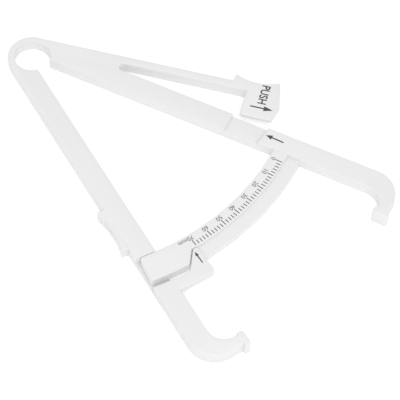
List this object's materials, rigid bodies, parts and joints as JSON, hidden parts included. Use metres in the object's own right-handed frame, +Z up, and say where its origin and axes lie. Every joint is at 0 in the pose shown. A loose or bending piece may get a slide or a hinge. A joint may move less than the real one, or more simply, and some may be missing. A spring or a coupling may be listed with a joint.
{
  "type": "skinfold caliper",
  "caption": "Flat moulded skinfold caliper: two hooked arms on a spring loop, a millimetre arc sliding under a pointer, and a sprung press lever on one arm.",
  "frame": {"origin": "axis of the spring loop, on the underside", "axes": "+X runs along the fixed jaw's contact face away from the loop, +Y is the side on which the moving arm opens, +Z is up out of the graduated side"},
  "size_m": [0.1646, 0.1037, 0.0064],
  "materials": {
    "white_plastic": "satin moulded plastic",
    "black_print": "matte printed ink"
  },
  "bodies": {
    "fixed_arm": {"fixed_arm_beam": "white_plastic", "finger_grip": "white_plastic", "guide_floor": "white_plastic", "fixed_arm_front": "white_plastic", "fixed_jaw": "white_plastic", "fixed_jaw_head": "white_plastic", "pointer_bracket": "white_plastic", "scale_pointer": "white_plastic", "hinge_loop": "white_plastic"},
    "moving_arm": {"moving_arm_web": "white_plastic", "moving_arm_beam": "white_plastic", "recess_web": "white_plastic", "moving_arm_front": "white_plastic", "moving_jaw": "white_plastic", "moving_jaw_head": "white_plastic", "scale_arc_base": "white_plastic", "scale_band": "white_plastic", "stop_block": "white_plastic", "lever_flexure": "white_plastic"},
    "press_lever": {"lever_beam": "white_plastic", "press_pad": "white_plastic", "thumb_block": "white_plastic"}
  },
  "joints": [
    {"name": "jaw_hinge", "type": "hinge", "parent": "fixed_arm", "child": "moving_arm", "pos_m": [0, 0, 0], "axis": [0, 0, -1], "range_deg": [0, 27.9], "stiffness_Nm_per_rad": 0.3, "deforming": ["hinge_loop"]},
    {"name": "lever_press", "type": "hinge", "parent": "moving_arm", "child": "press_lever", "pos_m": [0.02275, 0.03152, 0], "axis": [0, 0, -1], "range_deg": [0, 11.15], "stiffness_Nm_per_rad": 0.3, "deforming": ["lever_flexure"]}
  ]
}
